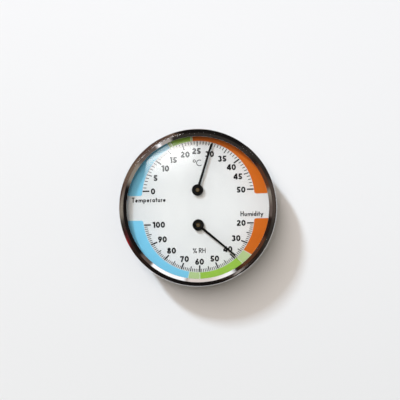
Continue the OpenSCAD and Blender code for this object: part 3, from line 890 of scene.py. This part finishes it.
@dataclass
class Sheet:
    """The dial's face as a drawing sheet: lays bars and filled shapes on it.

    Attributes:
        thickness: Thickness of the ink above the dial's face.
        sunk: How far the ink reaches into the dial.
        narrowest: Least cosine at a bend, which limits how far a bar's corner spreads.
        shape: Shape that collects what is drawn.
    """

    thickness: float = 0.02
    sunk: float = 0.03
    narrowest: float = 0.5
    shape: Shape = field(default_factory=Shape)

    def heights(self) -> tuple[float, float]:
        """Returns the heights of the ink's face and of its back above the wall."""
        face = -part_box("dial_plate")[0].y / MM
        return face + self.thickness, face - self.sunk

    def bar(self, path: np.ndarray, width: float, closed: bool = False) -> None:
        """Lays a bar of even width along a path: a rectangle carried along it.

        At each point the bar's side lies square to the mean direction of the path there.

        Args:
            path: Points in millimetres on the dial.
            width: Width of the bar.
            closed: True where the path returns to its start.
        """
        ahead = np.roll(path, -1, axis=0) - path
        back = path - np.roll(path, 1, axis=0)
        if not closed:
            ahead[-1], back[0] = back[-1], ahead[0]
        ahead /= np.linalg.norm(ahead, axis=1, keepdims=True)
        back /= np.linalg.norm(back, axis=1, keepdims=True)
        mean = ahead + back
        mean /= np.linalg.norm(mean, axis=1, keepdims=True)
        stretch = 1 / np.maximum(self.narrowest, (mean * ahead).sum(axis=1, keepdims=True))
        side = np.stack([-mean[:, 1], mean[:, 0]], axis=-1) * width / 2 * stretch
        self.ribbon(path + side, path - side, closed)

    def ribbon(self, left: np.ndarray, right: np.ndarray, closed: bool = False) -> None:
        """Fills the strip between two rows of points, as thick as the ink.

        Args:
            left: Points of one edge, in millimetres on the dial.
            right: Points of the other edge.
            closed: True where the strip returns to its start.
        """
        face, back = self.heights()
        corners = [(left, face), (right, face), (right, back), (left, back)]
        sections = [np.stack([p[:, 0], np.full(len(p), -z), p[:, 1]], axis=-1) for p, z in corners]
        self.shape.loft(np.stack(sections, axis=1) * MM, closed)

    def write(self, label: Label) -> None:
        """Writes a label, letter after letter."""
        glyphs = [Pen.glyph(letter, label.pen / label.height) for letter in label.words]
        total = sum(width for width, _ in glyphs) + label.gap * (len(glyphs) - 1)
        left = label.place[0] - total * label.height * label.align
        foot = label.place[1] - label.height / 2
        for width, strokes in glyphs:
            for points, closed in strokes:
                self.bar(points * label.height + [left, foot], label.pen, closed)
            left += (width + label.gap) * label.height

    def lay(self, name: str, material: bpy.types.Material) -> None:
        """Turns the drawing into a piece on the dial, with its faces outwards."""
        outward(self.shape.piece(name, material, "dial_paint", "case"))


@dataclass
class Scale:
    """One scale of the dial: zones, marks and figures round a spindle.

    Attributes:
        name: First word of the names of its pieces.
        up: 1 for the upper scale, -1 for the lower one.
        pivot: Distance of its end marks' line from the dial's centre.
        across: How far the print sits to the right of the spindle.
        drop: How far the centre of the marks' circle lies behind the zero line's middle.
        radius: Radius of the marks' circle.
        first: Value at the left end.
        last: Value at the right end.
        zones: Last value and ink of each zone, from the left.
        figures: Place of each figure's middle on the dial.
        mark_lengths: Lengths of the marks at tens, fives and ones.
        mark_widths: Widths of the marks at tens, fives and ones.
        figure_height: Height of the figures.
        figure_pen: Width of the figures' strokes.
        figure_gap: Space between two figures, in units of their height.
        band_gap: From the marks' circle out to the zones.
        past: How far the zones reach past the spindle's level.
        corner: Rounding of the zones' inner corners.
        spacer_wall: Thickness of the spacer ring.
        spacer_gap: From the spacer's opening in to the zones' outer edge.
        parting: Width of the pale line between two zones.
        end_steps: Points along each edge of the first and the last zone.
        zone_steps: Points along each edge of the zones between them.
        shy: How far the zones' first ray stays off the tangent of the corner, in radians.
    """

    name: str
    up: int
    pivot: float
    across: float
    drop: float
    radius: float
    first: int
    last: int
    zones: tuple[tuple[float, str], ...]
    figures: dict[int, tuple[float, float]]
    mark_lengths: tuple[float, float, float] = (4.33, 3.25, 2.07)
    mark_widths: tuple[float, float, float] = (0.9, 0.6, 0.46)
    figure_height: float = 3.89
    figure_pen: float = 0.98
    figure_gap: float = 0.09
    band_gap: float = 0.2
    past: float = 2.95
    corner: float = 1.28
    spacer_wall: float = 1.5
    spacer_gap: float = 0.1
    parting: float = 0.3
    end_steps: int = 96
    zone_steps: int = 36
    shy: float = 1e-4

    def reach(self, radius: float, drop: float, angle: np.ndarray) -> np.ndarray:
        """Returns the distance from the spindle to a circle centred drop behind it, by direction."""
        return -drop * np.sin(angle) + np.sqrt(radius ** 2 - (drop * np.cos(angle)) ** 2)

    def direction(self, value: float) -> float:
        """Returns the direction of a value in radians, 0 to the right and pi to the left."""
        return math.pi * (1 - (value - self.first) / (self.last - self.first))

    def place(self, angle: np.ndarray, distance: np.ndarray) -> np.ndarray:
        """Returns points on the dial from a direction and a distance to the spindle."""
        side, away = distance * np.cos(angle), distance * np.sin(angle)
        return np.stack([self.across + side, self.up * (self.pivot + away)], axis=-1)

    def limits(self, angle: np.ndarray) -> tuple[np.ndarray, np.ndarray]:
        """Works out where a ray from the spindle enters and leaves the coloured zones.

        The zones lie outside the marks' circle, inside the spacer and above a level line past
        the spindle. Where circle and line meet, a small circle rounds the corner off.

        Args:
            angle: Directions, from the spindle.

        Returns:
            Inner and outer distances from the spindle.
        """
        folded = np.where(angle > math.pi / 2, math.pi - angle, angle)
        inner_r = self.radius + self.band_gap
        spacer_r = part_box("spacer_ring")[1].x / MM - self.spacer_wall
        inner = self.reach(inner_r, self.drop, folded)
        outer = self.reach(spacer_r - self.spacer_gap, self.pivot, folded)
        level = np.where(folded < 0, self.past / np.maximum(TINY, np.sin(-folded)), np.inf)
        middle = self.corner_middle()
        towards = middle[0] * np.cos(folded) + middle[1] * np.sin(folded)
        apart = np.sqrt(np.maximum(0, self.corner ** 2 - (middle @ middle - towards ** 2)))
        both = inner_r + self.corner
        touch = middle * inner_r / both - [0, self.drop * self.corner / both]
        inner = np.where(folded < math.atan2(touch[1], touch[0]), towards - apart, inner)
        low = math.atan2(-self.past, middle[0])
        outer = np.where(folded < low, towards + apart, np.minimum(outer, level))
        return inner, outer

    def corner_middle(self) -> np.ndarray:
        """Returns the middle of the corner's rounding, to the right of the spindle."""
        height = self.corner - self.past
        away = self.radius + self.band_gap + self.corner
        return np.array([math.sqrt(away ** 2 - (height + self.drop) ** 2), height])

    def overrun(self) -> float:
        """Returns how far the zones turn past the level of the spindle, in radians."""
        middle = self.corner_middle()
        tangent = math.atan2(middle[1], middle[0]) - math.asin(self.corner / np.linalg.norm(middle))
        return -tangent - self.shy

    def build(self, finishes: Finishes) -> None:
        """Builds the zones, the marks and the figures."""
        start = self.first
        trim = self.parting / 2 / (self.radius - self.drop)
        for number, (end, ink) in enumerate(self.zones, 1):
            left = self.direction(start) + (self.overrun() if start == self.first else -trim)
            right = self.direction(end) - (self.overrun() if end == self.last else -trim)
            outermost = start == self.first or end == self.last
            angle = np.linspace(left, right, self.end_steps if outermost else self.zone_steps)
            inner, outer = self.limits(angle)
            sheet = Sheet()
            sheet.ribbon(self.place(angle, inner), self.place(angle, outer))
            sheet.lay(f"{self.name}_zone_{number}", finishes.get(ink))
            start = end
        self.marks(finishes)
        sheet = Sheet()
        for value, place in self.figures.items():
            sheet.write(Label(
                str(value), place, self.figure_height, self.figure_pen, gap=self.figure_gap))
        sheet.lay(f"{self.name}_figures", finishes.get("ink_black"))

    def marks(self, finishes: Finishes) -> None:
        """Draws a mark for each unit, longer at fives and heavier at tens."""
        sheet = Sheet()
        for value in range(min(self.first, self.last), max(self.first, self.last) + 1):
            kind = 0 if value % 10 == 0 else 1 if value % 5 == 0 else 2
            angle = np.full(2, self.direction(value))
            end = self.reach(self.radius, self.drop, angle)
            path = self.place(angle, end - [self.mark_lengths[kind], 0])
            sheet.bar(path, self.mark_widths[kind])
        sheet.lay(f"{self.name}_marks", finishes.get("ink_black"))


@dataclass
class Dial:
    """Everything printed on the dial.

    Attributes:
        temperature: Upper scale.
        humidity: Lower scale.
        labels: Unit signs and a word for each scale, by the names of their pieces.
    """

    temperature: Scale = field(default_factory=lambda: Scale(
        "temperature", 1, 11.21, 0.39, 4.52, 36.3, 0, 50,
        ((16, "ink_blue"), (17, "ink_pale_green"), (23, "ink_green"), (23.5, "ink_pale_green"),
         (50, "ink_orange")),
        {0: (-28.92, 11.04), 5: (-27.12, 19.68), 10: (-20.7, 25.75), 15: (-15.44, 31.19),
         20: (-7.62, 34.57), 25: (-0.2, 36.65), 30: (8.3, 34.5), 35: (16.36, 31.34),
         40: (22.23, 25.73), 45: (26.34, 19.6), 50: (28.24, 11.0)}))
    humidity: Scale = field(default_factory=lambda: Scale(
        "humidity", -1, 10.72, 0.39, 4.71, 35.9, 100, 20,
        ((65.5, "ink_blue"), (60, "ink_pale_green"), (39, "ink_green"), (34, "ink_pale_green"),
         (20, "ink_orange")),
        {20: (27.86, -10.6), 30: (24.3, -20.44), 40: (18.8, -27.47), 50: (10.2, -33.42),
         60: (0.32, -35.25), 70: (-9.42, -33.27), 80: (-17.73, -27.7), 90: (-23.45, -20.23),
         100: (-25.68, -10.73)}))
    labels: dict[str, Label] = field(default_factory=lambda: {
        "temperature_unit": Label("°C", (0.1, 28.95), height=4.2, pen=0.48, gap=0.01),
        "humidity_unit": Label("% RH", (0.3, -28.0), pen=0.48),
        "temperature_word": Label("Temperature", (-42.8, 5.65), align=0.0, gap=0.12),
        "humidity_word": Label("Humidity", (42.2, -4.65), align=1.0, gap=0.13)})

    def build(self, finishes: Finishes) -> None:
        """Builds both scales and the labels."""
        self.temperature.build(finishes)
        self.humidity.build(finishes)
        for name, label in self.labels.items():
            sheet = Sheet()
            sheet.write(label)
            sheet.lay(name, finishes.get("ink_black"))


@dataclass(frozen=True)
class Lamp:
    """Lamp that faces the dial and that no ray shows directly.

    Attributes:
        name: Name of the lamp.
        turn: Direction of the lamp on the dial, in degrees from the right.
        lift: Height of the lamp over the wall's plane, in degrees.
        distance: Distance from the dial's centre, in metres.
        sides: Width of the lamp, and its length towards the middle of the room, in metres.
        power: Power in watts.
        colour: Colour of its light.
    """

    name: str
    turn: float
    lift: float
    distance: float
    sides: tuple[float, float]
    power: float
    colour: tuple[float, float, float]

    def build(self) -> None:
        """Places the lamp."""
        turn, lift = math.radians(self.turn), math.radians(self.lift)
        across, up, low, high = math.cos(turn), math.sin(turn), math.cos(lift), math.sin(lift)
        towards = np.array([across * low, -high, up * low])
        along = np.array([-across * high, -low, -up * high])
        light = bpy.data.lights.new(self.name, "AREA")
        light.shape, light.energy, light.color = "RECTANGLE", self.power, self.colour
        light.size, light.size_y = self.sides
        placed = placed_object(self.name, light)
        axes = Matrix(np.stack([np.cross(along, towards), along, towards], axis=-1).tolist())
        placed.matrix_world = Matrix.Translation(towards * self.distance) @ axes.to_4x4()
        placed.visible_camera = placed.visible_glossy = placed.visible_transmission = False


@dataclass(frozen=True)
class Glare:
    """Bright window that the glass shows, measured in steps of a picture's pixel.

    The window ends at the left with a leaning side and at the top. It grows paler to the
    right, above the slanting edge of a roof, and with the power of the height downwards.
    Each pair of places says where the light is still nothing and where it is full.

    Attributes:
        level: Brightness of the window.
        height: Height at which the window is full.
        power: Power with which it grows paler downwards.
        top: Places at its top edge.
        side: Places at its left side, at the height of the picture's middle.
        side_slope: How far the side leans to the right for each step upwards.
        right: Places at its right end.
        paler_from: How far left of the middle it starts to grow paler.
        paler_over: Length over which it does so.
        paler_end: Share of the light that is left there.
        roof: Places at the roof's edge, at the picture's middle.
        roof_slope: How far the roof's edge rises for each step to the right.
        sky: Places from which some light comes over the roof.
        sky_share: Share of the light that comes over the roof.
        facing: Least part of the direction towards the viewer.
        glass: Distances from the ring's middle at which the glass ends.
    """

    level: float = 10.2
    height: float = 45.8
    power: float = 3.2
    top: tuple[float, float] = (60.5, 51.0)
    side: tuple[float, float] = (-62.5, -60.0)
    side_slope: float = 0.235
    right: tuple[float, float] = (6.7, -15.0)
    paler_from: float = 48.0
    paler_over: float = 34.0
    paler_end: float = 0.38
    roof: tuple[float, float] = (68.3, 64.0)
    roof_slope: float = 0.476
    sky: tuple[float, float] = (-18.0, -25.0)
    sky_share: float = 0.3
    facing: float = 0.9
    glass: tuple[float, float] = (70.2, 68.0)

    def light(self, graph: Graph, across: Socket, up: Socket, front: Socket, aside: Socket) -> Socket:
        """Works out how much of the window a direction shows.

        Args:
            graph: Graph of the world.
            across: Direction to the right.
            up: Direction upwards.
            front: Direction's part towards the viewer.
            aside: Distance from the direction that the glass shows at the ring's middle.

        Returns:
            The window's brightness there.
        """
        height = graph.product(graph.math("MAXIMUM", up, 0.0), 1 / self.height)
        leaning = graph.math("SUBTRACT", across, graph.product(up, self.side_slope))
        paler = graph.product(graph.math("ADD", across, self.paler_from), 1 / self.paler_over)
        over_roof = graph.spread(graph.smooth(across, *self.sky), 0.0, self.sky_share)
        under_roof = graph.smooth(
            graph.math("SUBTRACT", up, graph.product(across, self.roof_slope)), *self.roof)
        return graph.product(
            graph.math("POWER", height, self.power),
            graph.smooth(up, *self.top),
            graph.smooth(leaning, *self.side),
            graph.smooth(across, *self.right),
            graph.spread(paler, 1.0, self.paler_end),
            graph.math("MAXIMUM", over_roof, under_roof),
            graph.math("GREATER_THAN", front, self.facing),
            graph.smooth(aside, *self.glass),
            self.level)


@dataclass
class Surroundings:
    """Wall, lamps, and what metal and glass show of the room.

    Attributes:
        ROOM: Colours of the things in the room, as they show.
        BESIDE: What lies beside the instrument, by direction: what the ring's slope shows.
        BEFORE: What lies before the instrument, by direction: what the ring's shoulder shows.
        CLOSE: What stands close to the viewer, by direction: what the ring's crest shows.
        chrome_loss: Factor on the room's colours for what the chrome swallows.
        viewer: Colour of the dark room behind the viewer, as it shows.
        viewer_part: Parts towards the viewer at which that room begins to show and shows alone.
        before_part: Parts towards the viewer at which BEFORE begins to show and shows alone.
        close_reach: Distances from the ring's middle between which CLOSE shows, in steps.
        step: Change of direction from one pixel of the picture to the next.
        ring_middle: Direction that the glass shows at the ring's middle, right and up, in those steps.
        wall_gap: From the wall's plane back to the wall's sheet.
        wall_size: Side of the wall's sheet, in metres.
        wall_shades: Colours of the wall at its lower left and at its upper right, as they show; the change
            between them is painted light that stands in for the lamps' falloff over the wall.
        wall_spread: Half of the height over which they meet, in metres.
        wall_lean: How much a step to the right counts, against a step upwards.
        glare: The window in the glass.
        window: Light of the window.
        sky: Wider and softer light from the same side.
        ambient: Colour and strength of the light from all round.
        ambient_lean: How much stronger that light is from the right and from above.
        back: Light from behind the wall, for the back of the case.
    """

    ROOM: ClassVar[dict[str, Shade]] = {
        "black": (22, 19, 18), "coal": (40, 29, 24), "slate": (50, 46, 42), "taupe": (76, 66, 59),
        "rust": (86, 54, 38), "brown": (92, 71, 62), "umber": (95, 83, 77), "tan": (118, 99, 84),
        "beige": (138, 130, 118), "haze": (165, 157, 151), "cream": (220, 209, 201),
        "white": (252, 251, 250), "red": (190, 40, 46), "maroon": (90, 36, 40)}
    BESIDE: ClassVar[tuple[Span, ...]] = (
        ("umber", -180), ("beige", -168), ("rust", -164, -148), ("coal", -143), ("slate", -131, -71),
        ("haze", -69.3, -62), ("white", -60.8, -58.6), ("umber", -57, -40), ("beige", -36.5, -24),
        ("black", -17.5, 37), ("umber", 40, 49), ("white", 50.6, 78), ("haze", 79.8), ("cream", 82, 98),
        ("white", 116.5), ("coal", 121), ("rust", 128, 153), ("coal", 157, 171), ("umber", 173))
    BEFORE: ClassVar[tuple[Span, ...]] = (
        ("beige", -180, -176), ("slate", -168.5), ("coal", -163), ("maroon", -158), ("red", -154),
        ("maroon", -151), ("coal", -147), ("black", -130, -66), ("taupe", -64), ("black", -62, -48),
        ("slate", -34, -18), ("taupe", 2, 15), ("coal", 20, 30), ("slate", 34, 45),
        ("black", 52, 105.5), ("tan", 108.5, 112), ("brown", 116, 136), ("tan", 156),
        ("brown", 166, 172), ("beige", 180))
    CLOSE: ClassVar[tuple[Span, ...]] = (
        ("beige", -180, -172), ("slate", -166), ("coal", -160), ("maroon", -155), ("coal", -148, -132),
        ("black", -126, -80), ("coal", -70), ("taupe", -66), ("haze", -64, -61), ("taupe", -58),
        ("coal", -54, -40), ("slate", -34, -20), ("taupe", -8, 14), ("coal", 20), ("slate", 30, 46),
        ("black", 52, 106), ("tan", 110), ("brown", 116, 140), ("tan", 146, 158), ("brown", 166),
        ("beige", 180))

    chrome_loss: float = 1.19
    viewer: Shade = (28, 26, 25)
    viewer_part: tuple[float, float] = (0.93, 0.985)
    before_part: tuple[float, float] = (0.34, 0.46)
    close_reach: tuple[float, float] = (73.0, 200.0)
    step: float = 0.001125
    ring_middle: tuple[float, float] = (-2.1, -7.5)
    wall_gap: float = 0.3
    wall_size: float = 3.0
    wall_shades: tuple[Shade, Shade] = ((234, 234, 234), (240, 240, 241))
    wall_spread: float = 0.2
    wall_lean: float = 0.5
    glare: Glare = Glare()
    window: Lamp = Lamp("window_light", 125.5, 36.6, 9.0, (0.6, 1.3), 531.0, (0.84, 1.0, 1.145))
    sky: Lamp = Lamp("sky_light", 125.5, 65.0, 2.5, (0.9, 2.2), 37.0, (1.085, 1.0, 0.957))
    ambient: Colour = (0.198, 0.18, 0.147, 1.0)
    ambient_lean: tuple[float, float] = (0.6, 0.5)
    back: Lamp = Lamp("back_light", 132.0, -48.0, 1.3, (0.7, 0.7), 9.0, (1.0, 1.0, 1.0))

    def build(self) -> None:
        """Builds the wall, the lamps and the world."""
        self.wall()
        for lamp in (self.window, self.sky, self.back):
            lamp.build()
        self.world()

    def wall(self) -> None:
        """Builds the painted wall, which shows only its front and stops no light from behind."""
        half = self.wall_size / 2
        mesh = bpy.data.meshes.new("painted_wall")
        corners = [(-half, -half), (half, -half), (half, half), (-half, half)]
        mesh.from_pydata([(x, self.wall_gap * MM, z) for x, z in corners], [], [(0, 1, 2, 3)])
        mesh.materials.append(self.wall_paint())
        made = placed_object("painted_wall", mesh)
        made.visible_shadow = False

    def wall_paint(self) -> bpy.types.Material:
        """Builds the wall's paint with a painted falloff of light, a little lighter to the upper right, and
        clear from behind.
        """
        paint = bpy.data.materials.new("wall_paint")
        paint.use_nodes = True
        graph = Graph(paint.node_tree)
        place = graph.add("ShaderNodeTexCoord").outputs["Object"]
        spot = graph.add("ShaderNodeSeparateXYZ", {0: place}).outputs
        # Painted light: the colour grows lighter towards the upper right, a painted falloff of the lamps'
        # light over an evenly painted wall.
        height = graph.math("ADD", spot["Z"], graph.product(spot["X"], self.wall_lean))
        share = graph.smooth(height, -self.wall_spread, self.wall_spread)
        colour = graph.blend(share, *(tint(*shade) for shade in self.wall_shades))
        front = graph.add("ShaderNodeBsdfDiffuse", {"Color": colour})
        back = graph.add("ShaderNodeBsdfTransparent")
        side = graph.add("ShaderNodeNewGeometry").outputs["Backfacing"]
        mixed = graph.add("ShaderNodeMixShader", {0: side, 1: front.outputs[0], 2: back.outputs[0]})
        graph.add("ShaderNodeOutputMaterial", {"Surface": mixed.outputs[0]})
        return paint

    def world(self) -> None:
        """Builds the world: white to the eye, soft light all round, and a dark room in reflections."""
        world = bpy.data.worlds.new("room")
        world.use_nodes = True
        bpy.context.scene.world = world
        graph = Graph(world.node_tree)
        place = graph.add("ShaderNodeTexCoord").outputs["Generated"]
        way = graph.add("ShaderNodeSeparateXYZ", {0: place}).outputs
        path = graph.add("ShaderNodeLightPath").outputs
        shown = graph.math("MAXIMUM", path["Is Camera Ray"], path["Is Transmission Ray"])
        shown = graph.math("MAXIMUM", shown, path["Is Glossy Ray"])
        # The depth is 0 on rays that no matt surface has scattered, and 1 or more on the others.
        unscattered = graph.math("LESS_THAN", path["Diffuse Depth"], 0.5)
        seen = graph.blend(path["Is Glossy Ray"], WHITE, self.room(graph, way["X"], way["Y"], way["Z"]))
        soft = self.soft_light(graph, way["X"], way["Z"])
        seen = graph.blend(graph.product(shown, unscattered), soft, seen)
        ground = graph.add("ShaderNodeBackground", {"Color": seen})
        graph.add("ShaderNodeOutputWorld", {"Surface": ground.outputs[0]})

    def soft_light(self, graph: Graph, right: Socket, above: Socket) -> Socket:
        """Returns the light from all round, stronger from one side, by a direction's parts."""
        parts = (graph.product(part, lean) for part, lean in zip((right, above), self.ambient_lean))
        level = graph.math("MAXIMUM", graph.math("ADD", graph.math("ADD", *parts), 1.0), 0.0)
        return graph.blend(level, BLACK, self.ambient, clamp=False)

    def room(self, graph: Graph, right: Socket, away: Socket, above: Socket) -> Socket:
        """Works out what chrome and glass show of the room.

        Args:
            graph: Graph of the world.
            right: Direction's part to the right.
            away: Direction's part away from the viewer.
            above: Direction's part upwards.

        Returns:
            The colour, with the window's glare on it.
        """
        across, up = (graph.math("DIVIDE", part, self.step) for part in (right, above))
        front = graph.product(away, -1.0)
        turn = graph.math("ADD", graph.math("ARCTAN2", up, across), math.pi)
        share = graph.math("DIVIDE", turn, 2 * math.pi)
        beside, before, close = (
            self.sight(graph, share, spans) for spans in (self.BESIDE, self.BEFORE, self.CLOSE))
        room = graph.blend(graph.smooth(front, *self.before_part), beside, before)
        room = graph.blend(graph.smooth(front, *self.viewer_part), room, tint(*self.viewer))
        squares = (
            graph.math("POWER", graph.math("SUBTRACT", part, middle), 2.0)
            for part, middle in zip((across, up), self.ring_middle))
        aside = graph.math("SQRT", graph.math("ADD", *squares))
        near = graph.product(
            graph.math("GREATER_THAN", aside, self.close_reach[0]),
            graph.math("LESS_THAN", aside, self.close_reach[1]), graph.math("GREATER_THAN", front, 0.0))
        glare = self.glare.light(graph, across, up, front, aside)
        return graph.blend(glare, graph.blend(near, room, close), WHITE, clamp=False)

    def sight(self, graph: Graph, share: Socket, spans: Iterable[Span]) -> Socket:
        """Works out the colour of the room by direction.

        Args:
            graph: Graph of the world.
            share: Direction about the dial's axis, as a share of the full turn from the left.
            spans: Name of what stands there, and its directions in degrees from -180 to 180.

        Returns:
            The colour, brighter by what the chrome swallows.
        """
        return graph.ramp(share, [
            ((degrees + 180) / 360, tint(*self.ROOM[name], level=self.chrome_loss))
            for name, *places in spans for degrees in places])


@dataclass
class Eye:
    """Camera at the photograph's place.

    Attributes:
        lens: Focal length in millimetres on a 36 mm wide frame.
        pixel: Width of a picture's pixel at the ring, in millimetres.
        picture: Width of the picture in pixels.
        centre: Place of the ring's middle in the picture, in pixels.
        turn: How far the instrument hangs turned to the left, in degrees.
        plane: Height of the ring's widest line above the wall, in millimetres.
    """

    lens: float = 80.0
    pixel: float = 0.6464
    picture: int = 400
    centre: tuple[float, float] = (197.88, 207.51)
    turn: float = 1.2
    plane: float = 23.2

    def build(self) -> None:
        """Places the camera so that the ring has its size and place in the picture."""
        data = bpy.data.cameras.new("photo_camera")
        data.lens = self.lens
        placed = placed_object("photo_camera", data)
        distance = self.lens / data.sensor_width * self.pixel * self.picture
        across = (self.picture / 2 - self.centre[0]) * self.pixel
        up = (self.centre[1] - self.picture / 2) * self.pixel
        turn = math.radians(self.turn)
        placed.location = (
            (across * math.cos(turn) + up * math.sin(turn)) * MM, -(distance + self.plane) * MM,
            (up * math.cos(turn) - across * math.sin(turn)) * MM)
        placed.rotation_euler = (math.pi / 2, turn, 0.0)
        bpy.context.scene.camera = placed
        bpy.context.scene.view_settings.view_transform = "Standard"


def dress_nodes(finishes: Finishes) -> None:
    """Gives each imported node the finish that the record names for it."""
    for part in frame["record"]["subparts"]:
        node = frame["nodes"][part["node"]]
        node.data.materials.clear()
        node.data.materials.append(finishes.get(part["material_slot"]))
        log.info("%s: packed, in %s", part["node"], part["material_slot"])


def main() -> None:
    """Builds and dresses the instrument, then its wall, light and camera."""
    logging.basicConfig(level=logging.INFO, format="%(message)s")
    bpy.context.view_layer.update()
    finishes = Finishes()
    dress_nodes(finishes)
    Ring().build(finishes)
    Dial().build(finishes)
    Pointer("thermo").build(finishes)
    Pointer("hygro").build(finishes)
    Surroundings().build()
    Eye().build()


if __name__ == "__main__":
    main()
